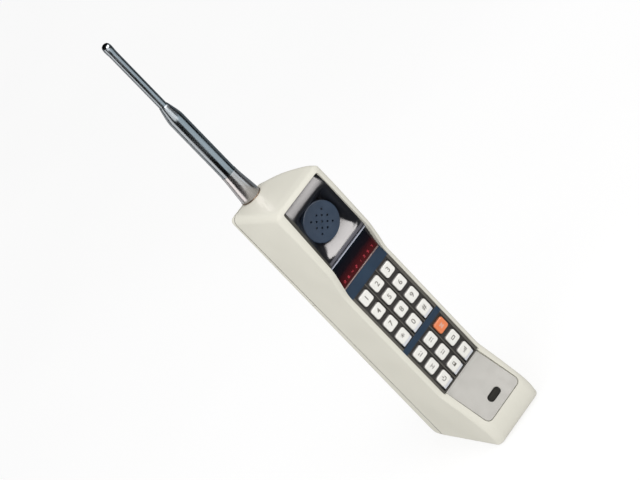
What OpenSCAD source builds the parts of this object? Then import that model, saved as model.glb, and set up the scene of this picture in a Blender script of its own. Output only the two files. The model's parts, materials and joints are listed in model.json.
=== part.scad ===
// Early mobile brick phone: a tall handset with a long push keypad, a sloped
// light-emitting display, a cupped earpiece, a forward chin with the microphone,
// a screw-in whip antenna and a lift-off battery that forms most of the back.
// Millimetres. +Z runs up the phone, the keypad faces -Y, +X is the viewer's right.
// The origin is under the middle of the body, on the plane it stands on.

/* [What to build] */
// Which part to draw

/* [Body] */
// Width of the housing
body_w = 44.5; // [40:0.5:50]
// Wall thickness of the housing
wall = 2.2; // [1.6:0.1:3]
// Joint between the front and rear mouldings, measured to the rear
seam_y = 29; // [26:0.5:31]

/* [Keypad] */
// Distance between key columns
key_pitch_x = 11.7; // [11.5:0.1:12.5]
// Distance between key rows
key_pitch_z = 12.1; // [11.8:0.1:12.6]
// Extra space between the number rows and the function rows
row_gap = 5.6; // [3:0.1:8]
// Height of the top row's centres
row1_z = 131.5; // [129:0.5:133]
// Width and height of a key cap
key_w = 8.8; // [8:0.1:9.8]
// Width and height of a key's hole in the bezel
key_hole = 9.4; // [8.6:0.1:10.4]
// Face of the key caps
key_top_y = -18.9; // [-20:0.1:-18]
// Face of the bezel
bezel_y = -17.8; // [-18:0.1:-17.4]

/* [Display] */
// Lean of the window from upright, in degrees
win_tilt = 18.4; // [15:0.1:21]

/* [Earpiece] */
// Height of the earpiece's centre
ear_z = 190.3; // [188:0.1:192]
// Face of the perforated disc
ear_face_y = -24.3; // [-26:0.1:-23]
// Radius of the perforated disc
ear_r = 13.2; // [11:0.1:14]
// Distance between the disc's sound holes
ear_hole_pitch = 3.85; // [3:0.05:4.5]
// Radius of the cupped surface round it
cup_r = 34; // [30:1:45]

/* [Chin] */
// Length of the chin plate down its slope
chin_len = 33.2; // [28:0.1:34]
// Half the width of the chin plate
chin_half = 17.9; // [15:0.1:18.2]
// Microphone slot's distance below the plate's top edge
mic_drop = 24.6; // [18:0.1:27]

/* [Antenna] */
// Distance of the antenna from the middle, towards -X
ant_off = 3; // [0:0.5:4]
// Depth position of the antenna
ant_y = 26.3; // [24:0.1:27]
// Height of the antenna's tip
ant_tip_z = 351.5; // [340:0.5:360]
// Radius of the whip
rod_r = 2.8; // [2:0.05:3]
// Radius of the sleeve
sleeve_r = 5.35; // [4:0.05:5.4]

/* [Battery] */
// Top edge of the battery pack
bat_top = 132; // [120:1:134]
// Front face of the battery bay
bay_y = 11; // [9:0.5:14]

/* [Hidden] */
ant_x = -ant_off;
ant_base_z = 215.2;                    // underside of the antenna's base ring
sleeve_low = 237;                      // foot and top of the antenna's sleeve
sleeve_top = 297.8;
win_low = [-17.7, 147];                // lower front edge of the window (y, z)
cup_y = -cup_r - 20;                   // centre of the cupped surface
chin_top = [-18.3, 45.1];              // top edge of the chin plate (y, z)
chin_tilt = -34.7;                     // lean of the chin plate from upright
coax_bend = (ant_y - 19.6) / 2;        // bend radius of the aerial lead
socket_z = 200.5 + 2 * coax_bend;      // underside of the antenna socket
post_z = [86.35, 141.4];               // heights of the bezel's posts
screw_at = [[-16.5, 206], [16.5, 194], [-16.5, 141.4], [16.5, 141.4]];   // (x, z)
shoulder_at = [22.25, -20, 216.5];     // front end of the sloped shoulder at the top right
shoulder_turn = [0, 42.8, 18.1];       // its slope, falling to the right and to the rear

// ---- every part by name ----

// ---- colours ----
c_shell = [0.80, 0.78, 0.72];
c_black = [0.05, 0.05, 0.06];
c_navy = [0.12, 0.18, 0.28];
c_key = [0.86, 0.85, 0.80];
c_metal = [0.75, 0.75, 0.77];
c_brass = [0.78, 0.62, 0.30];
c_board = [0.10, 0.30, 0.18];

// ---- small helpers ----
function row_z(row) = row1_z - key_pitch_z * row - (row >= 4 ? row_gap : 0);
module place_on_front(x, y, z) translate([x, y, z]) rotate([-90, 0, 0]) children();
module slab_x(half, pts) // a side outline (y, z) given a width
  rotate([90, 0, 90]) translate([0, 0, -half]) linear_extrude(2 * half) polygon(pts);
module rounded_block(w, d, h, r) // upright edges along Y rounded
  rotate([-90, 0, 0]) linear_extrude(d) union() {
    square([w - 2 * r, h], center = true);
    square([w, h - 2 * r], center = true);
    for (sx = [-1, 1], sz = [-1, 1])
      translate([sx * (w / 2 - r), sz * (h / 2 - r)]) circle(r, $fn = 48);
  }
module box(lo, hi) translate(lo) cube([hi[0] - lo[0], hi[1] - lo[1], hi[2] - lo[2]]);

// ---- outer form ----
// Each block is one convex length of the body. A corner is [y, z, pull in y, pull in z], and
// the pulls round the edges: each slab of the block is wider and pulled in further.
blk_ear = [[-28, 164.5, 1, 0], [-30.3, 214.8, 1, -.6], [-29.5, 217.2, .9, -1.6],
  [-26.5, 218.4, .4, -2.2], [30, 214.4, -.4, -2.5], [33.4, 212.6, -1, -2],
  [34.2, 209, -1, -1.2], [35.3, 164.5, -1, 0]];
blk_display = [[-18.4, 142, 1, 0], [-28, 164.5, 1, 0], [35.3, 164.5, -1, 0], [35.8, 142, -1, 0]];
blk_keys = [[-18.4, 47, 1, 0], [-18.4, 142, 1, 0], [35.8, 142, -1, 0], [38, 47, -1, 0]];
blk_chin = [[-37.7, 17.5, 2.1, 0], [-18.4, 47, 1, 0], [38, 47, -1, 0], [38.7, 17.5, -1, 0]];
blk_base = [[-33, 0, 2.1, 1], [-36.4, 1.2, 2.1, .8], [-38.4, 4.5, 2.1, .4], [-39, 9, 2.1, 0],
  [-38.8, 13.5, 2.1, 0], [-37.7, 17.5, 2.1, 0], [38.7, 17.5, -1, 0], [39, 8, -1, .1],
  [38.6, 4.2, -1, .4], [36.8, 2.2, -1, .9], [24, 0, 0, 1]];
rounding = [[19.3, 0], [21.5, .8], [body_w / 2, 2.6]];

module body_block(pts) hull() for (r = rounding)
  slab_x(r[0], [for (p = pts) [p[0] + p[2] * r[1], p[1] + p[3] * r[1]]]);
module shoulder(depth) // everything above the sloped shoulder, less a depth
  translate(shoulder_at) rotate(shoulder_turn) translate([-100, -100, -depth]) cube([200, 200, 60]);
module outer_form() difference() {
  union() {
    body_block(blk_ear);
    body_block(blk_display);
    body_block(blk_keys);
    body_block(blk_chin);
    body_block(blk_base);
  }
  shoulder(0);
}
cavity = [[-16, 46.9], [-16, 139.5], [-17, 147], [-23.1, 165], [-24, 212.5], [-21, 215],
  [29, 211.6], [31.2, 209.5], [32.2, 200], [36.2, 30], [36.2, 5], [33, 3], [24, 2.2], [-31.8, 2.2],
  [-35, 4.6], [-36.4, 9], [-36, 13], [-35, 16.8]];
module cavity_form() difference() {
  slab_x(body_w / 2 - wall, cavity);
  shoulder(wall);
}

// Outline of the framed opening, seen from the front.
opening = [[-19.2, 45.8], [19.2, 45.8], [19.2, 138], [18.7, 166], [17.4, 216],
  [-17.4, 216], [-18.7, 166], [-19.2, 138]];
module front_prism(pts, y0, y1)
  translate([0, y1, 0]) rotate([90, 0, 0]) linear_extrude(y1 - y0) polygon(pts);

module on_window() // local frame: -Y out of the window, +Z up along it from its low edge
  translate([0, win_low[0], win_low[1]]) rotate([win_tilt, 0, 0]) children();
module on_chin() // local frame: -Y out of the plate, +Z up along it, origin at its top edge
  translate([0, chin_top[0], chin_top[1]]) rotate([chin_tilt, 0, 0]) children();

// ---- housing ----
module front_housing() color(c_shell) difference() {
  union() {
    difference() {
      intersection() { outer_form(); box([-30, -45, -5], [30, seam_y, 230]); }
      cavity_form();
    }
    for (p = screw_at)
      translate([p[0], seam_y - 14, p[1]]) rotate([-90, 0, 0]) cylinder(r = 2.9, h = 14, $fn = 32);
    for (p = screw_at) // webs tie each screw post to the side wall
      box([min(p[0], sign(p[0]) * 20.6), seam_y - 14, p[1] - .9],
          [max(p[0], sign(p[0]) * 20.6), seam_y, p[1] + .9]);
  }
  front_prism(opening, -45, -13);
  on_chin() translate([0, -0.05, -chin_len / 2]) // shallow seat for the chin plate
    translate([0, -2, 0]) rounded_block(2 * chin_half, 3.05, chin_len, 2.2);
  on_chin() translate([0, -4, -mic_drop]) rounded_block(11.6, 12, 5.6, 2.6); // sound opening
  for (p = screw_at)
    translate([p[0], seam_y - 10, p[1]]) rotate([-90, 0, 0]) cylinder(r = .95, h = 12, $fn = 32);
  // the rear of the base is open where the battery bay and its pack sit
  box([-18.95, 12.9, -1], [18.95, 40, 3]);
  translate([ant_x, ant_y, 205]) cylinder(r = 5.05, h = 20, $fn = 48);
}

module rear_housing() color(c_shell) difference() {
  union() {
    difference() {
      intersection() { outer_form(); box([-30, seam_y + .3, bat_top + .6], [30, 45, 230]); }
      intersection() { cavity_form(); box([-30, 20, bat_top + 2.8], [30, 45, 230]); }
    }
    // tongue that locates inside the front moulding
    for (sx = [-1, 1]) {
      box([sx * 19.3 - .6, seam_y - 2.5, 150], [sx * 19.3 + .6, seam_y + 1.6, 188]);
      box([sx * 20 - 1, seam_y + .3, 150], [sx * 20 + 1, seam_y + 1.6, 188]);
    }
    for (p = screw_at) translate([p[0], seam_y, p[1]]) rotate([-90, 0, 0])
      cylinder(r = 2.9, h = p[1] > 180 ? 4.4 : 6, $fn = 32);
  }
  for (p = screw_at) {
    translate([p[0], seam_y - 1, p[1]]) rotate([-90, 0, 0]) cylinder(r = 1.25, h = 14, $fn = 32);
    translate([p[0], seam_y + 2.5, p[1]]) rotate([-90, 0, 0]) cylinder(r = 2.3, h = 14, $fn = 32);
  }
  translate([ant_x, ant_y, 205]) cylinder(r = 5.05, h = 20, $fn = 48);
  // finger scallop over the latch
  translate([0, 42, bat_top + 1]) sphere(r = 8.5, $fn = 64);
  box([-4.3, 31, bat_top], [4.3, 45, bat_top + 2.7]); // notch the latch tongue rises into
}

module housing_screws() color(c_metal) for (p = screw_at)
  translate([p[0], 0, p[1]]) rotate([-90, 0, 0]) difference() {
    union() {
      translate([0, 0, seam_y - 8]) cylinder(r = .95, h = 10.5, $fn = 32);
      translate([0, 0, seam_y + 2.5]) cylinder(r = 2.15, h = 1.4, $fn = 32);
    }
    translate([0, 0, seam_y + 3.2]) box([-1.5, -.25, 0], [1.5, .25, 2]);
    translate([0, 0, seam_y + 3.2]) box([-.25, -1.5, 0], [.25, 1.5, 2]);
  }

// ---- keypad ----
module each_key() for (row = [0:6], col = [-1:1])
  translate([col * key_pitch_x, 0, row_z(row)]) children();

module post_holes(r) for (sx = [-1, 1])
  translate([sx * 15.5, -14, post_z[0]]) rotate([-90, 0, 0]) cylinder(r = r, h = 8, $fn = 32);
module keypad_bezel() color(c_navy) difference() {
  union() {
    slab_x(18.9, [[bezel_y, 46], [bezel_y, 139.5], [-17.6, 146.7], [-16.0, 146.4],
      [-15, 139.3], [-15, 46]]);
    slab_x(20, [[-15.95, 47.2], [-15.95, 139.5], [-16.5, 144], [-15.6, 144], [-15, 139.3], [-15, 47.2]]);
    for (sx = [-1, 1], z = post_z) // posts that carry the chassis
      translate([sx * 15.5, -15.3, z]) rotate([-90, 0, 0]) cylinder(r = 2, h = 10.3, $fn = 32);
  }
  each_key() translate([0, bezel_y - 3, 0]) rounded_block(key_hole, 8, key_hole, 1.5);
  for (rows = [[0, 3], [4, 6]], col = [-1:1]) { // a sunk channel for each column of a group
    box([col * key_pitch_x - 5.5, bezel_y - 1, row_z(rows[1]) - 6.9],
        [col * key_pitch_x + 5.5, bezel_y + .8, row_z(rows[0]) + 6.4]);
    box([col * key_pitch_x - key_hole / 2, bezel_y - 1, row_z(rows[1]) - 6.7], // room for the skirt
        [col * key_pitch_x + key_hole / 2, -14, row_z(rows[1])]);
  }
}

module key_cap() union() {
  hull() {
    translate([0, key_top_y, 0]) rounded_block(key_w - 1.2, .3, key_w - 1.2, 1.2);
    translate([0, key_top_y + 1.1, 0]) rounded_block(key_w, .3, key_w, 1.4);
  }
  translate([0, key_top_y + 1.2, 0]) rounded_block(key_w, 2.8, key_w, 1.4);
  translate([0, -14.9, 0]) rounded_block(key_w + 1.5, .8, key_w + 1.5, 1.6);
  translate([0, -14.2, 0]) rotate([-90, 0, 0]) cylinder(r = 2.4, h = 1.1, $fn = 32);
}
module key_skirt() // sloped lip on the last row of each group
  slab_x(key_w / 2 - .3, [[-18.6, -4.1], [-17.7, -6.3], [-17.2, -6.3], [-17.2, -4]]);
module key_at(row, col) translate([col * key_pitch_x, 0, row_z(row)]) union() {
  key_cap();
  if (row == 3 || row == 6) key_skirt();
}
module key_1() color(c_key) key_at(0, -1);
module key_2() color(c_key) key_at(0, 0);
module key_3() color(c_key) key_at(0, 1);
module key_4() color(c_key) key_at(1, -1);
module key_5() color(c_key) key_at(1, 0);
module key_6() color(c_key) key_at(1, 1);
module key_7() color(c_key) key_at(2, -1);
module key_8() color(c_key) key_at(2, 0);
module key_9() color(c_key) key_at(2, 1);
module key_star() color(c_key) key_at(3, -1);
module key_0() color(c_key) key_at(3, 0);
module key_hash() color(c_key) key_at(3, 1);
module key_recall() color(c_key) key_at(4, -1);
module key_clear() color(c_key) key_at(4, 0);
module key_send() color([.85, .32, .14]) key_at(4, 1);
module key_store() color(c_key) key_at(5, -1);
module key_function() color(c_key) key_at(5, 0);
module key_end() color(c_key) key_at(5, 1);
module key_power() color(c_key) key_at(6, -1);
module key_lock() color(c_key) key_at(6, 0);
module key_volume() color(c_key) key_at(6, 1);

module key_mat() color([.30, .30, .32]) difference() {
  union() {
    box([-17.6, -11, 51.6], [17.6, -10, 138.2]);
    each_key() translate([0, -11.8, 0]) rotate([-90, 0, 0]) cylinder(r = 3.2, h = 1, $fn = 32);
  }
  post_holes(2.3);
}
module keypad_board() color(c_board) union() {
  difference() {
    box([-18.2, -10, 51], [18.2, -8.6, 139]);
    post_holes(2.1);
  }
  box([-5, -8.6, 134], [5, -6.8, 138]);          // flat-cable connector
  for (z = [60, 84, 108]) box([-9, -8.6, z], [-3, -7, z + 9]);
}

// ---- display ----
module display_window() color([.12, .02, .03]) on_window() union() {
  box([-18.6, 0, .2], [18.6, 1.2, 18.7]);
  box([-19.6, .75, 1.4], [19.6, 1.4, 17.6]);
}
module display_trim() color(c_metal) on_window() box([-18.5, -.25, 18.8], [18.5, 1.0, 19.7]);
module led_digits() color([.55, .04, .04]) on_window() for (i = [-3.5:3.5])
  translate([i * 4.1, 2.1, 3.8]) rounded_block(3.7, 2.3, 6.4, .4);
module display_board() color(c_board) on_window() union() {
  box([-18.2, 4.4, -1.2], [18.2, 5.8, 18]);
  box([-8, 5.8, 9], [8, 8, 16]);
}

// ---- earpiece ----
function inset_opening(d) = [[-18.7 + d, 166.7], [18.7 - d, 166.7], [17.4 - d, 216 - d],
  [-17.4 + d, 216 - d]];
module cup_front(d) slab_x(30, [[-24.9 + d, 166], [-29.5 + d, 217], [0, 217], [0, 166]]);
module earpiece_cup() color(c_black) difference() {
  union() {
    intersection() {
      front_prism(inset_opening(.12), -34, -10);
      cup_front(0);
      union() {
        difference() { box([-30, -40, 160], [30, 0, 220]); cup_front(2); }
        translate([0, cup_y, ear_z]) sphere(r = cup_r + 1.8, $fn = 96);
      }
    }
    intersection() { // flange behind the housing wall
      box([-19.8, -23, 168.5], [19.8, -22, 211.8]);
      box([-19.8, -30, 160], [19.8, 0, 220]);
    }
    translate([0, -24.1, ear_z]) rotate([-90, 0, 0]) cylinder(r = ear_r + 1.3, h = 7.5, $fn = 96);
  }
  difference() {
    translate([0, cup_y, ear_z]) sphere(r = cup_r, $fn = 96);
    translate([0, -24.1, ear_z]) rotate([-90, 0, 0]) cylinder(r = ear_r + 1.3, h = 12, $fn = 96);
  }
  translate([0, -30, ear_z]) rotate([-90, 0, 0]) cylinder(r = ear_r + .1, h = 20, $fn = 96);
}
module earpiece_grille() color(c_navy) translate([0, ear_face_y, ear_z]) rotate([-90, 0, 0])
  difference() {
    cylinder(r = ear_r, h = 1.5, $fn = 96);
    for (i = [-2:2], j = [-2:2]) if (i * i + j * j <= 4) rotate(45)
      translate([i * ear_hole_pitch, j * ear_hole_pitch, -1]) cylinder(r = .75, h = 4, $fn = 24);
  }
module earpiece_gasket() color([.08, .08, .08]) translate([0, ear_face_y + 1.5, ear_z])
  rotate([-90, 0, 0]) difference() {
    cylinder(r = ear_r - .2, h = 1.2, $fn = 64);
    translate([0, 0, -1]) cylinder(r = ear_r - 2.6, h = 4, $fn = 64);
  }
module earpiece_speaker() color([.35, .35, .37]) translate([0, ear_face_y + 2.7, ear_z])
  rotate([-90, 0, 0]) union() {
    cylinder(r = ear_r - .4, h = 4.2, $fn = 64);
    translate([0, 0, 4.2]) cylinder(r = 7.5, h = 3, $fn = 64);
  }

// ---- chin ----
module chin_plate() color([.62, .62, .62]) on_chin() translate([0, 0, -chin_len / 2]) difference() {
  rounded_block(2 * chin_half - .3, .95, chin_len - .3, 2);
  translate([0, -1, chin_len / 2 - mic_drop]) rounded_block(11.2, 4, 5.2, 2.5);
}
module microphone_boot() color(c_black) on_chin() translate([0, 1.4, -mic_drop]) difference() {
  rounded_block(11.3, 5.2, 5.3, 2.4);
  translate([0, -.1, 0]) rounded_block(9, 1.6, 3.2, 1.5);
  translate([0, 1.4, 0]) rotate([-90, 0, 0]) cylinder(r = 1.0, h = 1.2, $fn = 24);
  translate([0, 2.5, 0]) rounded_block(9.4, 3.2, 3.9, 1.6);
}
module microphone() color(c_metal) on_chin() translate([0, 3.9, -mic_drop]) rounded_block(9.3, 2.6, 3.8, 1.5);

// ---- electronics ----
module chassis() color([.68, .69, .71]) difference() {
  union() {
    box([-18.6, -5, 24], [18.6, -3.8, 206]);
    for (sx = [-1, 1]) box([sx * 18 - .6, -5, 24], [sx * 18 + .6, 4, 206]);
    for (sx = [-1, 1], z = [30, 126, 150, 200])
      translate([sx * 14.5, -3.9, z]) rotate([-90, 0, 0])
        cylinder(r = 1.9, h = z > 140 ? 9.9 : bay_y + 3.9, $fn = 32);
  }
  box([-9, -6, 176], [9, -3, 204]);     // window behind the speaker
  box([-6, -6, 142], [6, -3, 146]);     // cable pass-through
}
module logic_board() color(c_board) box([-12, -3.8, 36], [12, -2.3, 140]);
module logic_chips() color([.07, .07, .08]) union() {
  box([-9, -2.3, 96], [9, .6, 132]);
  box([-8, -2.3, 62], [2, .2, 88]);
  box([4, -2.3, 62], [10, -.4, 70]);
  box([4, -2.3, 76], [10, -.4, 84]);
  for (x = [-7, -1, 5]) translate([x, -2.3, 50]) rotate([-90, 0, 0]) cylinder(r = 2.2, h = 6, $fn = 32);
}
module transceiver_board() color(c_board) box([-18.8, 6, 141], [18.8, 7.6, 203]);
module rf_shield() color(c_metal) difference() {
  box([-17, 7.6, 146], [17, 14.6, 200]);
  box([-16.4, 7, 146.6], [16.4, 14, 199.4]);
}
module duplexer() color([.80, .80, .78]) union() {
  box([-15, 14.6, 152], [6, 24.6, 196]);
  for (z = [158, 168, 178, 188]) // tuning screws
    translate([6, 19.6, z]) rotate([0, 90, 0]) cylinder(r = 1.8, h = 2.4, $fn = 32);
  translate([ant_x, 19.6, 196]) cylinder(r = 2, h = 4, $fn = 32);   // aerial connector
}
module ribbon_cable() color([.72, .66, .50]) union() {
  box([-4.5, -6.8, 135], [4.5, -6.5, 145]);
  box([-4.5, -6.8, 144.7], [4.5, 6, 145]);
  box([-4.5, 5.7, 141], [4.5, 6, 145]);
}
module coax_lead() color([.15, .13, .12]) union() {
  translate([ant_x, 19.6, 200]) cylinder(r = 1.1, h = .5, $fn = 32);
  for (b = [[200.5, 90], [200.5 + 2 * coax_bend, 270]])
    translate([ant_x, 19.6 + coax_bend, b[0]]) rotate([90, 0, 90]) rotate([0, 0, b[1]])
      rotate_extrude(angle = 90, $fn = 48) translate([coax_bend, 0]) circle(r = 1.1, $fn = 32);
}

// ---- antenna ----
module antenna_socket() color(c_brass) translate([ant_x, ant_y, 0]) difference() {
  union() {
    translate([0, 0, socket_z]) cylinder(r = 5, h = 214.6 - socket_z, $fn = 64);
    translate([0, 0, socket_z]) cylinder(r = 5.6, h = 1.6, $fn = 6);
  }
  translate([0, 0, socket_z + 1.4]) cylinder(r = 3.3, h = 10, $fn = 64);
}
module ferrule_shape(pts) translate([ant_x, ant_y, 0]) rotate_extrude($fn = 96) polygon(pts);
module antenna_ferrule() color(c_metal) ferrule_shape([[0, 209.5], [3.25, 209.5], [3.25, ant_base_z],
  [7.5, ant_base_z], [7.5, ant_base_z + 1.2], [6.85, 220.5], [6.15, 228], [5.65, 232.5], [5.5, sleeve_low],
  [0, sleeve_low]]);
module antenna_sleeve() color(c_black) ferrule_shape([[0, sleeve_low], [sleeve_r, sleeve_low],
  [sleeve_r, sleeve_top - 11.3], [5, sleeve_top - 9], [3.6, sleeve_top - 2.6], [3.1, sleeve_top],
  [0, sleeve_top]]);
module antenna_whip() color(c_black) ferrule_shape([[0, sleeve_top], [rod_r, sleeve_top], [rod_r, 344],
  [2.95, 345.1], [3.05, 348.6], [2.6, 350.3], [1.5, 351.2], [0, ant_tip_z]]);

// ---- battery ----
module battery_bay() color([.16, .16, .17]) difference() {
  box([-19.95, bay_y, 3.2], [19.95, 28.8, 137.6]);
  box([-18.9, bay_y + 1, 2], [18.9, 40, 135.4]);
  for (sx = [-1, 1]) box([sx * 7 - 3, bay_y - 1, 118], [sx * 7 + 3, bay_y + 2, 128]);
}
module bay_contacts() color(c_brass) for (sx = [-1, 1]) difference() {
  box([sx * 7 - 2.5, bay_y - .8, 119], [sx * 7 + 2.5, bay_y + 1.6, 127]);
  box([sx * 7 - 3, bay_y - .4, 119.6], [sx * 7 + 3, bay_y + 1.2, 126.4]);
}
// belly of the pack: a lidless tub that carries the cells, closed by the cover
module battery_case() color([.20, .20, .21]) difference() {
  box([-18.6, bay_y + 2.2, .4], [18.6, 29.2, 128.6]);
  box([-17.4, bay_y + 3.4, 2], [17.4, 40, 127.4]);
}
module battery_cover() color(c_shell) difference() {
  intersection() { outer_form(); box([-30, seam_y + .3, 0], [30, 45, bat_top]); }
  intersection() {
    slab_x(body_w / 2 - wall, [[20, 5.6], [36.2, 6.4], [34.2, 127], [20, 127]]);
    box([-20, seam_y + 1.5, 5], [20, 45, bat_top - 5]);
  }
  box([-17.4, 20, 5.4], [17.4, seam_y + 2, 127.2]);
  // grip ribs are cut as shallow grooves
  for (z = [96:3.4:116]) box([-13, 37.2 - (z - 47) * .0232 - .1, z], [13, 45, z + 1.5]);
  // well for the latch button
  box([-6.1, 31.2, 121.6], [6.1, 45, 129.4]);
  box([-4.1, 31.2, 129], [4.1, 34, 133]);
  for (sx = [-1, 1]) translate([sx * 3.4, 33.2, 117.5]) cylinder(r = 1.5, h = 5, $fn = 32);
}
module battery_latch() color([.22, .22, .23]) union() {
  box([-5.9, 31.4, 123.8], [5.9, 35.2, 129.2]);
  box([-3.9, 31.4, 129.1], [3.9, 33.6, 134]);
}
module latch_spring() color(c_metal) for (sx = [-1, 1]) translate([sx * 3.4, 33.2, 117.6])
  difference() {
    cylinder(r = 1.3, h = 6.1, $fn = 32);
    translate([0, 0, -1]) cylinder(r = .8, h = 9, $fn = 32);
  }
module battery_cells() color([.25, .42, .55]) for (sx = [-1, 1], z = [7, 67])
  translate([sx * 8.6, bay_y + 12.4, z]) union() {
    cylinder(r = 8.4, h = 56, $fn = 64);
    translate([0, 0, 56]) cylinder(r = 3, h = 1.8, $fn = 32);
  }
module battery_contacts() color(c_brass) for (sx = [-1, 1])
  box([sx * 7 - 2, bay_y + 1.7, 119.5], [sx * 7 + 2, bay_y + 2.2, 126.5]);

// ---- one line for each part ----
front_housing();
rear_housing();
keypad_bezel();
key_mat();
keypad_board();
display_window();
display_trim();
led_digits();
display_board();
earpiece_cup();
earpiece_grille();
earpiece_gasket();
earpiece_speaker();
chin_plate();
microphone_boot();
microphone();
chassis();
logic_board();
logic_chips();
transceiver_board();
rf_shield();
duplexer();
ribbon_cable();
coax_lead();
antenna_socket();
antenna_ferrule();
antenna_sleeve();
antenna_whip();
battery_bay();
bay_contacts();
battery_case();
battery_cover();
battery_cells();
battery_contacts();
battery_latch();
latch_spring();
housing_screws();
key_1();
key_2();
key_3();
key_4();
key_5();
key_6();
key_7();
key_8();
key_9();
key_star();
key_0();
key_hash();
key_recall();
key_clear();
key_send();
key_store();
key_function();
key_end();
key_power();
key_lock();
key_volume();
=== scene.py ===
import json
import bmesh
import bpy
from math import acos, cos, exp, hypot, pi, radians, sin, sqrt, tan
from mathutils import Matrix, Vector

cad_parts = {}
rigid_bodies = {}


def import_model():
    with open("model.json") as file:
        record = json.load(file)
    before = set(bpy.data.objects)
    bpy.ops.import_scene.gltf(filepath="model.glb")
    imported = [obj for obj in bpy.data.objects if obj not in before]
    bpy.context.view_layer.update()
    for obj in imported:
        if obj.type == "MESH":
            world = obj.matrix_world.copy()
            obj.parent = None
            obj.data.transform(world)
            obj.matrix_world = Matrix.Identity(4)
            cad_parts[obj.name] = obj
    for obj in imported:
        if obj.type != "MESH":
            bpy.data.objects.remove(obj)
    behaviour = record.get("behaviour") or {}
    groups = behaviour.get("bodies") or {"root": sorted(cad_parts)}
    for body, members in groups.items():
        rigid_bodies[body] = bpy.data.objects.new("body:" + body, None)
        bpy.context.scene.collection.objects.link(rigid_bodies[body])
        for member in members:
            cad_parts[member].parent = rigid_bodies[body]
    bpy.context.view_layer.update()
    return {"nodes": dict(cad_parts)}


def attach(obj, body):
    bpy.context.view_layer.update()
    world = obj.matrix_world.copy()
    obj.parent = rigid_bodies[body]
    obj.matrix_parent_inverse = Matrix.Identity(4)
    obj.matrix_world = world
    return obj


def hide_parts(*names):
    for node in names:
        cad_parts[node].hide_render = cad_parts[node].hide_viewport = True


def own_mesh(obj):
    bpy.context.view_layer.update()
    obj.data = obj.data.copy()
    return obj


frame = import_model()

# Sizes are in millimetres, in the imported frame: +Z up the phone, the keypad faces -Y. Lights are in metres.
MM = 0.001
scene = bpy.context.scene
scene.view_settings.view_transform = "Standard"


# ---------------------------------------------------------------- helpers
def clamp(v, lo=0.0, hi=1.0):
    return max(lo, min(hi, v))


def ease(v):
    """Smooth step from 0 to 1."""
    v = clamp(v)
    return v * v * (3 - 2 * v)


def lookup(table, x):
    """Straight-line lookup in a short table of (x, value) pairs."""
    if x <= table[0][0]:
        return table[0][1]
    for (x0, v0), (x1, v1) in zip(table, table[1:]):
        if x <= x1:
            return v0 + (v1 - v0) * (x - x0) / (x1 - x0)
    return table[-1][1]


def soft_lookup(table, x, half):
    """The same lookup averaged over a short window, which fillets its corners."""
    n = 8
    return sum(lookup(table, x + half * (2 * i / n - 1)) for i in range(n + 1)) / (n + 1)


def quarter(u):
    """Height of a quarter circle of radius 1 at u."""
    return sqrt(max(0.0, 1 - u * u))


def corner_arc(cx, cy, r, start, steps):
    """Points of a quarter circle, from a start angle in degrees."""
    angles = [radians(start + 90 * i / steps) for i in range(steps + 1)]
    return [(cx + r * cos(a), cy + r * sin(a)) for a in angles]


def rings_of(verts, size):
    """Vertex numbers of the equal rings that a list of points is made of."""
    return [range(i, i + size) for i in range(0, len(verts), size)]


def walls(rings):
    """Faces that join each closed ring to the next."""
    n = len(rings[0])
    return [(a[i], a[(i + 1) % n], b[(i + 1) % n], b[i]) for a, b in zip(rings, rings[1:]) for i in range(n)]


def caps(rings):
    """Faces that close the first and the last ring."""
    return [tuple(reversed(rings[0])), tuple(rings[-1])]


def fan(ring, centre):
    """Triangles from a ring to one vertex in its middle."""
    return [(ring[i], ring[(i + 1) % len(ring)], centre) for i in range(len(ring))]


def add(name, data):
    """A new object in the scene."""
    ob = bpy.data.objects.new(name, data)
    scene.collection.objects.link(ob)
    return ob


def remesh(ob, change):
    """Runs a bmesh change on an object's mesh."""
    bm = bmesh.new()
    bm.from_mesh(ob.data)
    change(bm)
    bm.to_mesh(ob.data)
    bm.free()


def shade(ob, angle=None):
    """Smooth shading, kept sharp at edges over the angle in degrees."""
    for p in ob.data.polygons:
        p.use_smooth = True
    if angle is not None:
        limit = radians(angle)

        def mark(bm):
            for e in bm.edges:
                e.smooth = not (len(e.link_faces) == 2 and e.calc_face_angle(0) > limit)
        remesh(ob, mark)


def make_object(name, verts, faces, mats=(), auto=None, flat=False):
    """A mesh object from points in millimetres."""
    me = bpy.data.meshes.new(name)
    me.from_pydata([(x * MM, y * MM, z * MM) for x, y, z in verts], [], faces)
    me.validate()
    for m in mats:
        me.materials.append(m)
    ob = add(name, me)
    remesh(ob, lambda bm: bmesh.ops.recalc_face_normals(bm, faces=bm.faces))
    if not flat:
        shade(ob, auto)
    return ob


def evaluated_mesh(ob):
    """A new mesh of an object as its modifiers or curve settings shape it."""
    bpy.context.view_layer.update()
    return bpy.data.meshes.new_from_object(ob.evaluated_get(bpy.context.evaluated_depsgraph_get()))


def apply_modifiers(ob):
    old, ob.data = ob.data, evaluated_mesh(ob)
    ob.modifiers.clear()
    bpy.data.meshes.remove(old)


def boolean(ob, cutter, operation="DIFFERENCE"):
    """Cuts or trims a piece with another one, which is used up."""
    mod = ob.modifiers.new("cut", "BOOLEAN")
    mod.solver = "EXACT"
    mod.operation = operation
    mod.object = cutter
    apply_modifiers(ob)
    bpy.data.objects.remove(cutter)


def clone(ob, name):
    new = add(name, ob.data.copy())
    new.data.name = name
    return new


def prism(name, pts, low, high, axis="y", mats=()):
    """A closed outline given depth along an axis: (x, z) along y, (y, z) along x."""
    if axis == "y":
        verts = [(a, y, b) for y in (low, high) for a, b in pts]
    else:
        verts = [(x, a, b) for x in (low, high) for a, b in pts]
    near, far = rings_of(verts, len(pts))
    return make_object(name, verts, [tuple(near), tuple(reversed(far))] + walls([near, far]), mats, flat=True)


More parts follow.
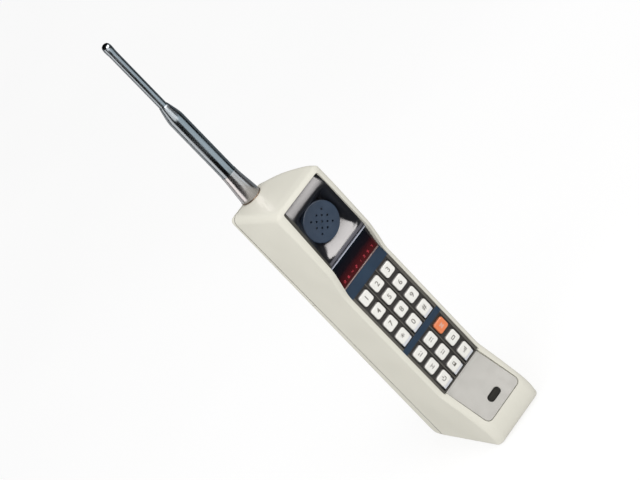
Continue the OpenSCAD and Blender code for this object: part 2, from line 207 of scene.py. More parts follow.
def box(name, lo, hi, mats=()):
    (x0, y0, z0), (x1, y1, z1) = lo, hi
    return prism(name, [(x0, z0), (x1, z0), (x1, z1), (x0, z1)], y0, y1, "y", mats)


def round_rect(w, h, r, n=6, cx=0.0, cz=0.0):
    """A rectangle with rounded corners, round a centre."""
    pts = []
    for qx, qz, start in ((1, 1, 0), (-1, 1, 90), (-1, -1, 180), (1, -1, 270)):
        pts += corner_arc(cx + qx * (w / 2 - r), cz + qz * (h / 2 - r), r, start, n)
    return pts


def round_corners(pts, radii, n=6):
    """Rounds each corner of a closed outline with its own radius."""
    out = []
    for i, (x, z) in enumerate(pts):
        p, q, s = Vector((x, z)), Vector(pts[i - 1]), Vector(pts[(i + 1) % len(pts)])
        if radii[i] <= 0:
            out.append((x, z))
            continue
        da, db = (q - p).normalized(), (s - p).normalized()
        t = radii[i] / tan(acos(clamp(da.dot(db), -1, 1)) / 2)
        for k in range(n + 1):
            u = k / n
            c = (p + da * t) * (1 - u) ** 2 + p * (2 * u * (1 - u)) + (p + db * t) * u ** 2
            out.append((c.x, c.y))
    return out


def revolve(name, profile, mats=(), cx=0.0, cy=0.0, seg=96, auto=35):
    """Turns a list of (radius, z) about an upright axis at (cx, cy)."""
    verts, faces, rings = [], [], []
    for r, z in profile:
        k = 1 if r < 1e-6 else seg
        rings.append([len(verts) + i for i in range(k)])
        for i in range(k):
            a = 2 * pi * i / seg
            verts.append((cx + r * cos(a), cy + r * sin(a), z))
    for a, b in zip(rings, rings[1:]):
        for k in range(seg):
            quad = [a[k % len(a)], a[(k + 1) % len(a)], b[(k + 1) % len(b)], b[k % len(b)]]
            face = tuple(dict.fromkeys(quad))
            if len(face) > 2:
                faces.append(face)
    return make_object(name, verts, faces, mats, auto=auto)


def place(ob, angle, x, y, z):
    """Turns a piece about X and moves it to the point given."""
    turn = Matrix.Rotation(radians(angle), 4, "X")
    ob.data.transform(Matrix.Translation((x * MM, y * MM, z * MM)) @ turn)
    return ob


def turn_to_front(ob, x, y, z):
    """Lays an upright turned piece along +Y, with its base at the point given."""
    return place(ob, -90, x, y, z)


def lean(ob, frame_at):
    """Moves a piece from a local frame that leans about X to its place."""
    angle, y, z = frame_at
    return place(ob, angle, 0, y, z)


def bore(ob, radius, length, x, y, z, seg=32):
    """Drills a round hole along +Y from the point given."""
    drill = revolve("c", [(0, 0), (radius, 0), (radius, length), (0, length)], seg=seg)
    boolean(ob, turn_to_front(drill, x, y, z))


def thicken(ob, depth):
    """Gives a skin its thickness, behind its face."""
    mod = ob.modifiers.new("wall", "SOLIDIFY")
    mod.thickness = depth * MM
    apply_modifiers(ob)


def bevel(ob, width, angle=38, segments=2):
    mod = ob.modifiers.new("edge", "BEVEL")
    mod.width = width * MM
    mod.segments = segments
    mod.limit_method = "ANGLE"
    mod.angle_limit = radians(angle)
    mod.miter_outer = "MITER_ARC"


def weighted(ob):
    """Lets the large faces set the shading normals."""
    mod = ob.modifiers.new("normals", "WEIGHTED_NORMAL")
    mod.keep_sharp = True
    mod.weight = 80


def finish_edges(ob, width, auto=50):
    """Softens the sharp edges of a piece and shades it."""
    bevel(ob, width)
    apply_modifiers(ob)
    shade(ob, auto)
    weighted(ob)


def put(ob, body, slot, *nodes):
    """Attaches a finished piece to the body it rides on and hides the nodes it stands for."""
    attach(ob, body)
    if nodes:
        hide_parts(*nodes)


def join(name, obs):
    """Joins several meshes into one object, keeping their materials."""
    mats = []
    bm = bmesh.new()
    for o in obs:
        me = o.data
        index = []
        for m in me.materials:
            if m not in mats:
                mats.append(m)
            index.append(mats.index(m))
        for p in me.polygons:
            p.material_index = index[p.material_index]
        bm.from_mesh(me)
        bpy.data.objects.remove(o)
        bpy.data.meshes.remove(me)
    me = bpy.data.meshes.new(name)
    bm.to_mesh(me)
    bm.free()
    for m in mats:
        me.materials.append(m)
    return add(name, me)


# ---------------------------------------------------------------- materials
def new_material(name):
    m = bpy.data.materials.new(name)
    m.use_nodes = True
    return m, m.node_tree, m.node_tree.nodes["Principled BSDF"]


def feed(nt, value, socket):
    """Links a socket to another one, or sets it to a number, a vector or a colour."""
    if isinstance(value, bpy.types.NodeSocket):
        nt.links.new(value, socket)
    elif isinstance(value, tuple):
        socket.default_value = (*value, 1)[:len(socket.default_value)]
    else:
        socket.default_value = value


def wire(nt, node, **inputs):
    """Feeds a node's inputs. An underscore in a name stands for a space."""
    for name, value in inputs.items():
        feed(nt, value, node.inputs[name.replace("_", " ")])
    return node


def new_node(nt, kind, **inputs):
    return wire(nt, nt.nodes.new("ShaderNode" + kind), **inputs)


def own_point(nt):
    """The point being shaded, in the object's own coordinates."""
    return new_node(nt, "TexCoord").outputs["Object"]


def noise(nt, scale, detail=2, rough=0.5, stretch=None):
    """Cloudy pattern from 0 to 1. A scale given for each axis can draw it out."""
    point = own_point(nt)
    if stretch:
        point = new_node(nt, "Mapping", Vector=point, Scale=stretch).outputs["Vector"]
    return new_node(nt, "TexNoise", Vector=point, Scale=scale, Detail=detail, Roughness=rough).outputs["Fac"]


def ramp(nt, source, *stops):
    """A colour ramp with its stops given in order as (position, colour or grey level)."""
    r = new_node(nt, "ValToRGB", Fac=source)
    e = r.color_ramp.elements
    while len(e) < len(stops):
        e.new(0.5)
    for k, (p, c) in zip(e, stops):
        k.position = p
        k.color = (*c, 1) if isinstance(c, tuple) else (c, c, c, 1)
    return r.outputs["Color"]


def mix(nt, factor, a, b):
    """Blends from colour a to colour b by a factor."""
    m = new_node(nt, "Mix")
    m.data_type = "RGBA"
    for value, socket in ((factor, m.inputs["Factor"]), (a, m.inputs[6]), (b, m.inputs[7])):
        feed(nt, value, socket)
    return m.outputs[2]


def bump(nt, bsdf, source, depth, strength=0.35):
    """Adds a relief to the ones that a material already has."""
    b = new_node(nt, "Bump", Height=source, Distance=depth * MM, Strength=strength)
    for earlier in bsdf.inputs["Normal"].links:
        feed(nt, earlier.from_socket, b.inputs["Normal"])
    feed(nt, b.outputs["Normal"], bsdf.inputs["Normal"])


def rising(nt, axis, lo, hi):
    """Rises from 0 to 1 as the object's own coordinate goes from lo to hi in mm."""
    value = new_node(nt, "SeparateXYZ", Vector=own_point(nt)).outputs[axis]
    return new_node(nt, "MapRange", Value=value, From_Min=lo * MM, From_Max=hi * MM).outputs["Result"]


def calculate(nt, operation, *values):
    """A math node, fed with sockets or plain numbers."""
    m = new_node(nt, "Math")
    m.operation = operation
    for value, socket in zip(values, m.inputs):
        feed(nt, value, socket)
    return m.outputs["Value"]


def between(nt, axis, lo, hi, soft):
    """1 where the object's own coordinate is between lo and hi in mm."""
    enter, leave = rising(nt, axis, lo - soft, lo + soft), rising(nt, axis, hi + soft, hi - soft)
    return calculate(nt, "MULTIPLY", enter, leave)


def shades(color, vary):
    """A darker and a lighter shade of a colour."""
    return tuple(c * (1 - vary) for c in color), tuple(min(1.0, c * (1 + vary)) for c in color)


def plastic(name, color, rough, vary=0.03, blotch=18, grain=1400, depth=0.008, uneven=0.04,
            specular=0.5, ior=1.45):
    """Moulded plastic: slight mottling, a fine mould grain and uneven gloss."""
    m, nt, b = new_material(name)
    lo, hi = shades(color, vary)
    mottle = ramp(nt, noise(nt, blotch, 3), (0.35, lo), (0.65, hi))
    gloss = ramp(nt, noise(nt, blotch * 4, 4), (0.35, rough - uneven), (0.65, rough + uneven))
    wire(nt, b, Base_Color=mottle, Roughness=gloss, Specular_IOR_Level=specular, IOR=ior)
    if depth:
        bump(nt, b, noise(nt, grain, 2), depth)
    return m


def metal(name, color, rough, stretch=(1, 1, 1), scale=600, depth=0.004, vary=0.05):
    """Metal with a grain that can be drawn out along an axis."""
    m, nt, b = new_material(name)
    lo, hi = shades(color, vary)
    grain = noise(nt, scale, 3, stretch=stretch)
    gloss = ramp(nt, noise(nt, 60, 3), (0.35, rough - 0.05), (0.65, rough + 0.05))
    wire(nt, b, Base_Color=ramp(nt, grain, (0.35, lo), (0.65, hi)), Roughness=gloss, Metallic=1.0)
    if depth:
        bump(nt, b, grain, depth, 0.3)
    return m


def repaint(nt, factor, color):
    """Blends a colour over a material's own."""
    b = nt.nodes["Principled BSDF"]
    base = b.inputs["Base Color"].links[0].from_socket
    wire(nt, b, Base_Color=mix(nt, factor, base, color))


def shell_material():
    """Warm off-white housing plastic, a little yellowed and worn, with a fine spark-eroded grain."""
    m = plastic("housing_cream", (0.665, 0.648, 0.57), 0.40, vary=0.018, blotch=9, grain=2200, depth=0.01,
                uneven=0.05, specular=0.45)
    nt = m.node_tree
    repaint(nt, ramp(nt, noise(nt, 55, 6, 0.65), (0.62, 0.0), (0.85, 0.10)), (0.52, 0.48, 0.39))
    bump(nt, nt.nodes["Principled BSDF"], noise(nt, 38, 3), 0.02, 0.15)
    return m


def key_material(name, color, wall):
    """Moulded cap, with painted shade on its walls down in the channels, which makes them darker than the
    face.
    """
    m = plastic(name, color, 0.38, vary=0.012, depth=0.006)
    # Painted shade: the cap's walls, more than 0.75 mm behind its face, blend to the darker wall colour.
    repaint(m.node_tree, between(m.node_tree, "Y", KEY_TOP + .75, 0, .35), wall)
    return m


def bezel_material(bands):
    """Warm dark grey keypad frame, with painted shade, a near-black grey, down in its channels, and deep blue
    printed bands.
    """
    m, nt, b = new_material("bezel_print")
    grey = ramp(nt, noise(nt, 30, 4), (0.35, (0.100, 0.094, 0.082)), (0.65, (0.116, 0.109, 0.096)))
    navy = ramp(nt, noise(nt, 45, 4), (0.3, (0.018, 0.038, 0.070)), (0.7, (0.027, 0.053, 0.092)))
    # Painted shade: the surfaces behind the frame's face, down in the channels, blend to a near-black grey.
    color = mix(nt, between(nt, "Y", -17.4, -10, 0.1), grey, (0.052, 0.049, 0.046))
    for lo, hi in bands:
        color = mix(nt, between(nt, "Z", lo, hi, 0.05), color, navy)
    gloss = ramp(nt, noise(nt, 80, 3), (0.35, 0.36), (0.65, 0.46))
    wire(nt, b, Base_Color=color, Roughness=gloss, Specular_IOR_Level=0.3)
    bump(nt, b, noise(nt, 1800, 2), 0.006)
    return m


def window_material(z_low, z_red, z_high):
    """Dark red display lens: a dull red along its foot, and black above z_red."""
    m, nt, b = new_material("display_lens")
    wave = calculate(nt, "MULTIPLY_ADD", noise(nt, 160, 3), 0.10, rising(nt, "Z", z_low, z_high))
    k = (z_red - z_low) / (z_high - z_low)
    color = ramp(nt, wave, (0.06, (0.078, 0.013, 0.014)), (k * 0.7, (0.055, 0.009, 0.011)),
                 (k + 0.1, (0.010, 0.007, 0.010)), (1.0, (0.005, 0.007, 0.011)))
    wire(nt, b, Base_Color=color, Roughness=ramp(nt, noise(nt, 90, 2), (0.4, 0.05), (0.6, 0.09)))
    return m


def glow_material():
    """Lit red figures, a little uneven."""
    m, nt, b = new_material("lit_red")
    c = ramp(nt, noise(nt, 260, 2), (0.35, (0.34, 0.014, 0.024)), (0.65, (0.60, 0.04, 0.07)))
    wire(nt, b, Base_Color=c, Emission_Color=c, Emission_Strength=0.22)
    return m


def board_material():
    """Green circuit board with paler copper tracks under the lacquer."""
    m, nt, b = new_material("board_green")
    upright = new_node(nt, "Mapping", Vector=own_point(nt), Rotation=(radians(90), 0, 0))
    tracks = new_node(nt, "TexBrick", Vector=upright.outputs["Vector"], Scale=260, Mortar_Size=0.12,
                      Color1=(0.018, 0.10, 0.045), Color2=(0.022, 0.12, 0.055), Mortar=(0.05, 0.20, 0.08))
    gloss = ramp(nt, noise(nt, 200, 2), (0.4, 0.28), (0.6, 0.4))
    wire(nt, b, Base_Color=tracks.outputs["Color"], Roughness=gloss)
    bump(nt, b, tracks.outputs["Fac"], 0.03, 0.4)
    return m


def weave_material(name, color, pitch):
    """Fine woven or perforated screen."""
    m, nt, b = new_material(name)
    cells = new_node(nt, "TexVoronoi", Vector=own_point(nt), Scale=1 / (pitch * MM), Randomness=0.0)
    lo, hi = shades(color, 0.5)
    threads = ramp(nt, cells.outputs["Distance"], (0.25, lo), (0.45, hi))
    gloss = ramp(nt, noise(nt, 300, 2), (0.4, 0.65), (0.6, 0.8))
    wire(nt, b, Base_Color=threads, Roughness=gloss, Specular_IOR_Level=0.05)
    bump(nt, b, cells.outputs["Distance"], 0.1, 0.6)
    return m


CREAM = (0.80, 0.79, 0.745)
KEY_TOP = -18.9
M = {
    "shell": shell_material(),
    "cup": plastic("cup_black", (0.010, 0.011, 0.015), 0.30, vary=0.1, depth=0, uneven=0.02, ior=1.80),
    "lip": plastic("cup_lip", (0.012, 0.013, 0.016), 0.33, vary=0.1, depth=0, uneven=0.03, ior=1.72),
    "foot": plastic("cup_foot", (0.100, 0.098, 0.115), 0.4, vary=0.15, blotch=60, depth=0, specular=0.4),
    "strip": plastic("cup_edge_olive", (0.068, 0.065, 0.055), 0.42, vary=0.1, depth=0.004, specular=0.4),
    "bezel": bezel_material([(83.9, 88.3), (137.9, 150)]),
    # The third colour of each key material is painted shade for the caps' walls.
    "key": key_material("key_cream", CREAM, (0.24, 0.23, 0.22)),
    "orange": key_material("key_orange", (0.80, 0.225, 0.085), (0.30, 0.12, 0.07)),
    "skirt": plastic("key_skirt_white", (0.70, 0.72, 0.76), 0.4, vary=0.02, depth=0.006),
    "ink": plastic("legend_grey", (0.16, 0.15, 0.13), 0.5, vary=0.1, depth=0),
    "ink_pale": plastic("legend_pale", (0.70, 0.50, 0.42), 0.5, vary=0.1, depth=0),
    "disc": plastic("disc_slate", (0.033, 0.055, 0.092), 0.46, vary=0.10, blotch=60, depth=0.01,
                    uneven=0.05, specular=0.4),
    "plate": plastic("plate_grey", (0.375, 0.366, 0.337), 0.40, blotch=40, depth=0.01, uneven=0.06,
                     specular=0.35),
    "dark": plastic("moulded_dark", (0.035, 0.035, 0.038), 0.5, vary=0.12, depth=0.01),
    "seal": plastic("seam_seal", (0.07, 0.068, 0.062), 0.6, vary=0.1, depth=0.004, specular=0.3),
    "rubber": plastic("rubber_dark", (0.018, 0.018, 0.018), 0.7, vary=0.15, grain=900, depth=0.01,
                      specular=0.3),
    "chip": plastic("chip_black", (0.015, 0.015, 0.016), 0.45, vary=0.1),
    "flex": plastic("flat_cable", (0.50, 0.40, 0.20), 0.35, vary=0.08, blotch=90, depth=0.004),
    "cell": plastic("cell_sleeve", (0.05, 0.16, 0.28), 0.3, vary=0.06, depth=0.003),
    # The display trim is bright metal. Its pale blue-grey is painted sheen, a diffuse colour in place of the
    # metal's reflection.
    "trim": plastic("trim_painted_sheen", (0.46, 0.48, 0.57), 0.25, vary=0.05, blotch=90, depth=0.003, specular=0.8),
    "sill": plastic("sill_grey", (0.20, 0.125, 0.115), 0.3, vary=0.08, blotch=90, depth=0.003),
    "antenna": metal("antenna_black", (0.205, 0.228, 0.245), 0.22, (1, 1, 0.1), 400, 0, 0.06),
    "cast": metal("cast_metal", (0.55, 0.56, 0.58), 0.45, scale=300, depth=0.01),
    "tin": metal("tinned_sheet", (0.66, 0.66, 0.67), 0.25, (1, 1, 12)),
    "plated": metal("plated_block", (0.78, 0.78, 0.76), 0.2, (1, 12, 1)),
    "brass": metal("turned_brass", (0.70, 0.48, 0.18), 0.22, (1, 1, 20)),
    "steel": metal("plated_steel", (0.60, 0.60, 0.62), 0.25, (1, 1, 8)),
    "ferrule": metal("ferrule_metal", (0.385, 0.373, 0.376), 0.26, (1, 1, 0.06), 500, 0.002),
    # Painted shade: a dark brown for the ferrule's base flange, where it meets the housing.
    "base_ring_painted_shade": metal("base_ring_painted_shade", (0.20, 0.15, 0.11), 0.35, depth=0.002),
    "window": window_material(147.0, 156.0, 164.5),
    "glow": glow_material(),
    "board": board_material(),
    "gauze": weave_material("mic_gauze", (0.022, 0.021, 0.018), 0.55),
}

# ---------------------------------------------------------------- housing
HALF = 22.25
WALL = 2.2
SEAM = 29.0
GAP = 0.5        # half the width of the seam that the sealing strip fills
BAT_TOP = 132.0
TOP = 218.6
CROWN = 214.8    # where the front starts to round over into the top
CROWN_BACK = 209.6
BASE_RISE = 2.2  # height of the slope under the back
REAR_R = 2.6     # radius of the upright corners at the rear
SIDE_R = 2.0     # rounding of the sides at the base
# The outline seen from the side, as (z, y), and the front corners' radius, as (z, radius)
FRONT = [(9, -39.0), (13.5, -38.85), (17.5, -37.7), (47, -18.5), (142, -18.5), (164.5, -28.0), (211, -30.2),
         (CROWN, -30.3), (220, -30.3)]
BACK = [(8, 39.0), (209, 34.2), (215, 34.1)]
CORNER = [(0, 3.0), (3, 6.6), (17, 7.0), (34, 3.6), (47, 2.5), (142, 2.5), (164, 3.0), (200, 3.4), (213, 4.6),
          (TOP, 4.6)]
SOFTER_RIGHT = [(152, 0), (164, 1.7), (TOP, 1.3)]     # what the right front corner has more than the left
# The top, as (y, z), and its right shoulder, as (y, radius)
TOP_LINE = [(-20, TOP), (30, 214.4), (50, 212.8)]
SHOULDER = [(-26, 4.0), (-16, 4.2), (-5, 6), (6, 8.4), (15, 11.2), (24, 15.5), (33, 21), (50, 22)]
LEFT_SHOULDER = 5.2
# The opening in the front, as (x, z), and the hollow inside, as (y, z)
OPENING = [(-19.2, 45.8), (19.2, 45.8), (19.2, 138), (18.7, 166), (17.4, 216), (-17.4, 216), (-18.7, 166),
           (-19.2, 138)]
CAVITY = [(-16, 46.9), (-16, 139.5), (-17, 147), (-23.1, 165), (-24, 212.5), (-21, 215), (29, 211.6),
          (31.2, 209.5), (32.2, 200), (36.2, 30), (36.2, 5), (33, 3), (24, 2.2), (-31.8, 2.2), (-35, 4.6),
          (-36.4, 9), (-36, 13), (-35, 16.8)]
# Leaning frames of the chin plate and the window, as (angle, y, z)
CHIN = (-34.7, -18.3, 45.1)
WINDOW = (18.4, -17.7, 147.0)
CHIN_HALF, CHIN_LEN, MIC_DROP = 17.9, 33.2, 24.6
ANT_X, ANT_Y = -3.0, 26.3
SCREWS = [(-16.5, 206), (16.5, 194), (-16.5, 141.4), (16.5, 141.4)]
POST_LEN = 14
SCALLOP_R = 8.5  # finger scallop over the battery
BELOW, ABOVE, BEHIND, AHEAD, ASIDE = -5, 240, 60, -60, 40     # clear of the body, for cutters


def front_at(z):
    """The front's y at a height."""
    if z < 9:
        return -33.0 - 6.0 * quarter((9 - z) / 9)
    if z < 12:
        return -39.0
    if z > CROWN:
        return -26.5 - 3.8 * quarter(min(1, (z - CROWN) / (TOP - CROWN)))
    return soft_lookup(FRONT, z, 3.0 if z > 60 else 2.2)


def back_at(z):
    """The back's y at a height."""
    if z < BASE_RISE:
        return 24 + 12.8 * z / BASE_RISE
    if z < 8:
        return 36.8 + 2.2 * quarter((8 - z) / 5.8)
    if z > CROWN_BACK:
        return 29.4 + 4.8 * quarter(min(1, (z - CROWN_BACK) / 4.8))
    return lookup(BACK, z)


def half_at(z):
    """Half the body's width at a height."""
    return HALF - SIDE_R + SIDE_R * quarter((SIDE_R - z) / SIDE_R) if z < SIDE_R else HALF


def body_levels():
    """Heights of the body's sections, closer together where it curves."""
    zs = [0, .15, .4, .8, 1.3, 1.8, 2.2, 2.7, 3.4, 4.2, 5.2, 6.4, 7.8, 9.4]
    zs += [11 + 1.6 * i for i in range(6)] + [21, 24, 28, 32, 36, 40, 43]
    zs += [44.2 + i for i in range(8)] + [58 + 8 * i for i in range(10)]
    zs += [138 + 1.2 * i for i in range(7)] + [149, 152, 155, 158, 160.4]
    zs += [161.8 + 1.4 * i for i in range(6)] + [172 + 6 * i for i in range(6)] + [206, 208, CROWN_BACK]
    zs += [210.6 + .9 * i for i in range(5)] + [CROWN]
    return zs + [CROWN + (TOP - CROWN) * sin(radians(90 * i / 10)) for i in range(1, 11)]


def body_form(name):
    """The housing as one solid, from sections with rounded corners. Its top is square until it is trimmed."""
    verts, steps = [], 9
    for z in body_levels():
        front, back, half = front_at(z), back_at(z), half_at(z)
        r_left = lookup(CORNER, z)
        r_right = r_left + lookup(SOFTER_RIGHT, z)
        corners = [(half - r_right, front + r_right, r_right, -90), (half - REAR_R, back - REAR_R, REAR_R, 0),
                   (REAR_R - half, back - REAR_R, REAR_R, 90), (r_left - half, front + r_left, r_left, 180)]
        verts += [(x, y, z) for corner in corners for x, y in corner_arc(*corner, steps)]
    rings = rings_of(verts, 4 * (steps + 1))
    return make_object(name, verts, walls(rings) + caps(rings), [M["shell"]])


def top_form(name, inset=0.0):
    """The space under the top: it falls towards the back, and its right shoulder gets rounder."""
    verts, steps = [], 20
    side, r_left = HALF + .04 - inset, LEFT_SHOULDER - inset
    outside = side + 2
    for y in range(-47, 48, 2):
        z = lookup(TOP_LINE, y) - inset
        r_right = soft_lookup(SHOULDER, y, 3) - inset
        section = [(-outside, BELOW), (outside, BELOW), (outside, z - r_right)]
        section += corner_arc(side - r_right, z - r_right, r_right, 0, steps)
        section += corner_arc(r_left - side, z - r_left, r_left, 90, steps) + [(-outside, z - r_left)]
        verts += [(x, y, height) for x, height in section]
    rings = rings_of(verts, len(section))
    return make_object(name, verts, walls(rings) + caps(rings), flat=True)


def slab(y0, y1, z0=BELOW, z1=ABOVE):
    """A cutter over the phone's whole width."""
    return box("c", (-ASIDE, y0, z0), (ASIDE, y1, z1))


def housing():
    """The two mouldings and the battery's cover in one, hollow, with the openings in the front."""
    body = body_form("body_form")
    boolean(body, top_form("t"), "INTERSECT")
    inside = prism("c", CAVITY, -HALF + WALL, HALF - WALL, "x")
    boolean(inside, top_form("t", WALL), "INTERSECT")
    boolean(body, inside)
    boolean(body, prism("c", round_corners(OPENING, [.5, .5, 0, 0, 1.6, 1.6, 0, 0]), -46, -13))
    seat = [(-CHIN_HALF, -CHIN_LEN), (CHIN_HALF, -CHIN_LEN), (CHIN_HALF, 4), (-CHIN_HALF, 4)]
    boolean(body, lean(prism("c", round_corners(seat, [4.6, 4.6, 0, 0], 8), -8, 1.0), CHIN))
    boolean(body, lean(prism("c", round_rect(11.6, 5.6, 2.7, 8, 0, -MIC_DROP), -8, 8), CHIN))
    boolean(body, revolve("c", [(0, 200), (5.05, 200), (5.05, 225), (0, 225)], (), ANT_X, ANT_Y, 48))
    return body


def screw_post(name, x, z):
    """A hollow screw post and the web that ties it to the housing's side."""
    tube = [(0, 0), (2.9, 0), (2.9, POST_LEN - .2), (1.0, POST_LEN - .2), (1.0, 3), (0, 3)]
    post = turn_to_front(revolve("post", tube, [M["shell"]], seg=32), x, SEAM - POST_LEN, z)
    x0, x1 = (19, 20.4) if x > 0 else (-20.4, -19)
    web = box("web", (x0, SEAM - POST_LEN, z - .9), (x1, SEAM - .3, z + .9), [M["shell"]])
    put(join(name, [post, web]), "handset", "shell")


def front_shell(body):
    """Everything in front of the seam, notched at the base for the battery pack."""
    ob = clone(body, "front_shell")
    boolean(ob, slab(AHEAD, SEAM - GAP), "INTERSECT")
    boolean(ob, box("c", (-18.95, 12.9, BELOW), (18.95, BEHIND, 3.4)))
    finish_edges(ob, 0.3)
    put(ob, "handset", "shell", "front_housing")
    for i, (x, z) in enumerate(SCREWS):
        screw_post("screw_post_%d" % (i + 1), x, z)


def rear_shell(body):
    """The back over the battery, with a finger scallop, screw holes and a notch for the latch's tongue."""
    ob = clone(body, "rear_shell")
    boolean(ob, slab(SEAM + GAP, BEHIND, BAT_TOP + .6), "INTERSECT")
    half_turn = [radians(a) for a in range(0, 181, 9)]
    scallop = revolve("c", [(SCALLOP_R * sin(a), -SCALLOP_R * cos(a)) for a in half_turn], seg=48)
    boolean(ob, place(scallop, 0, 0, 42, BAT_TOP + 1))
    for x, z in SCREWS:
        bore(ob, 2.3, 13.5, x, SEAM + 2.5, z)
    boolean(ob, box("c", (-4.3, 31, BAT_TOP - 1), (4.3, 45, BAT_TOP + 2.7)))
    finish_edges(ob, 0.3)
    put(ob, "handset", "shell", "rear_housing")


def battery_shell(body):
    """The battery's cover, with grip grooves and the latch button's opening."""
    ob = clone(body, "battery_shell")
    boolean(ob, slab(SEAM + GAP, BEHIND, z1=BAT_TOP), "INTERSECT")
    for i in range(6):
        z = 96 + 3.4 * i
        y = lookup(BACK, z) - .75
        groove = [(y + .2, z + .35), (y, z + .75), (y + .2, z + 1.15), (45, z + 1.5), (45, z)]
        boolean(ob, prism("c", groove, -13, 13, "x"))
    boolean(ob, box("c", (-6.1, 31.2, 121.6), (6.1, 45, 129.4)))
    finish_edges(ob, 0.25)
    put(ob, "battery_pack", "shell", "battery_cover")


def seam_gasket(body):
    """Dark sealing strip that shows as a thin line in the seam round the housing, a little below its face."""
    ob = clone(body, "seam_gasket")
    boolean(ob, slab(SEAM - GAP + .05, SEAM + GAP - .05), "INTERSECT")
    ob.data.transform(Matrix.Diagonal((.9945, 1, .9985, 1)))
    ob.data.materials.clear()
    ob.data.materials.append(M["seal"])
    put(ob, "handset", "rubber_dark")


whole = housing()
seam_gasket(whole)
front_shell(whole)
rear_shell(whole)
battery_shell(whole)
bpy.data.objects.remove(whole)

# ---------------------------------------------------------------- carried-over pieces
LOOKS = {
    "bezel": ["keypad_bezel"],
    "rubber": ["key_mat", "earpiece_gasket", "microphone_boot", "coax_lead"],
    "board": ["keypad_board", "display_board", "logic_board", "transceiver_board"],
    "trim": ["display_trim"],
    "window": ["display_window"],
    "chip": ["led_digits", "logic_chips"],
    "tin": ["earpiece_speaker", "microphone", "rf_shield"],
    "cast": ["chassis"],
    "plated": ["duplexer"],
    "flex": ["ribbon_cable"],
    "brass": ["antenna_socket", "bay_contacts", "battery_contacts"],
    "dark": ["battery_bay", "battery_case", "battery_latch"],
    "cell": ["battery_cells"],
    "steel": ["latch_spring", "housing_screws"],
    "cup": ["earpiece_cup"],
    "disc": ["earpiece_grille"],
    "plate": ["chin_plate"],
    "ferrule": ["antenna_ferrule"],
    "antenna": ["antenna_sleeve", "antenna_whip"],
    "shell": ["front_housing", "rear_housing", "battery_cover"],
    "orange": ["key_send"],
}
EDGES = {"keypad_bezel": .15, "display_window": .2, "display_trim": .25, "housing_screws": .12,
         "battery_latch": .3, "battery_bay": .3, "battery_case": .4, "chassis": .2, "rf_shield": .3,
         "logic_chips": .15, "duplexer": .3, "led_digits": .15, "microphone_boot": .2}
LOOK_OF = {node: look for look, nodes in LOOKS.items() for node in nodes}
for name, ob in frame["nodes"].items():
    ob.data.materials.clear()
    ob.data.materials.append(M[LOOK_OF.get(name, "key")])
    if name in EDGES:
        bevel(ob, EDGES[name], 40)


# ---------------------------------------------------------------- keys
ROW_Z = [131.5, 119.4, 107.3, 95.2, 77.5, 65.4, 53.3]
PITCH = 11.7
KEY_W = 8.6
FACE_W, FACE_R = KEY_W - 1.8, 1.25
LEGEND, STAR, STAR_DROP = 5.2, 6.6, .9
KEY_NAMES = [["key_1", "key_2", "key_3"], ["key_4", "key_5", "key_6"], ["key_7", "key_8", "key_9"],
             ["key_star", "key_0", "key_hash"], ["key_recall", "key_clear", "key_send"],
             ["key_store", "key_function", "key_end"], ["key_power", "key_lock", "key_volume"]]
SKIRT_ROWS = (3, 6)
# Plain marks on the function keys: bars given as (x, z, width, height)
MARKS = {
    "key_recall": [(-1.0, .8, 1.8, .5), (1.3, .8, .8, .5), (0, -.8, 3.1, .5)],
    "key_clear": [(0, .8, 2.9, .5), (-.7, -.8, 1.5, .5), (1.2, -.8, 1.0, .5)],
    "key_send": [(0, .9, 3.1, .55), (0, -.1, 2.2, .5), (0, -1.1, 3.1, .55)],
    "key_store": [(0, .9, 2.7, .5), (0, -.1, 1.1, .5), (0, -1.1, 2.7, .5)],
    "key_function": [(-.8, .7, 1.4, .5), (1.0, .7, 1.2, .5), (0, -.8, 3.0, .5)],
    "key_end": [(0, .8, 2.3, .5), (0, -.8, 2.3, .5), (-1.3, 0, .5, 2.0), (1.3, 0, .5, 2.0)],
    "key_power": [(0, 1.0, .55, 1.7), (-1.3, -.2, .5, 2.0), (1.3, -.2, .5, 2.0), (0, -1.3, 2.2, .5)],
    "key_lock": [(0, -.6, 2.6, 1.4), (-.8, .7, .45, 1.5), (.8, .7, .45, 1.5), (0, 1.5, 1.9, .45)],
    "key_volume": [(-1.35, -.5, .5, 1.1), (-.45, -.2, .5, 1.7), (.45, .1, .5, 2.3), (1.35, .4, .5, 2.9)],
}


def dish(x, z):
    """Depth of the finger dish at a point on the cap."""
    return 0.2 * max(0.0, 1 - (x * x + z * z) / 13.0)


def key_cap(cx, cz, mat):
    """Flange, skirt and softly rounded cap, from the back to the dished face."""
    w = KEY_W
    # (width, corner radius, y)
    loops = [(w + 1.3, 1.6, -14.1), (w + 1.5, 1.7, -14.3), (w + 1.5, 1.7, -14.75), (w + 1.3, 1.6, -14.9),
             (w, 1.45, -14.95), (w, 1.45, -17.5), (w - .06, 1.45, -18.0), (w - .24, 1.5, -18.35),
             (w - .52, 1.55, -18.62), (w - .9, 1.55, -18.79), (w - 1.3, 1.45, -18.87),
             (FACE_W, FACE_R, KEY_TOP)]
    steps = 5
    verts = [(cx + x, y, cz + z) for k, r, y in loops for x, z in round_rect(k, k, r, steps)]
    for k in (0.86, 0.7, 0.5, 0.28):
        for x, z in round_rect(FACE_W, FACE_W, FACE_R, steps):
            verts.append((cx + x * k, KEY_TOP + dish(x * k, z * k), cz + z * k))
    rings = rings_of(verts, 4 * (steps + 1))
    faces = walls(rings) + fan(rings[-1], len(verts)) + [tuple(reversed(rings[0]))]
    verts.append((cx, KEY_TOP + dish(0, 0), cz))
    return make_object("cap", verts, faces, [mat], auto=50)


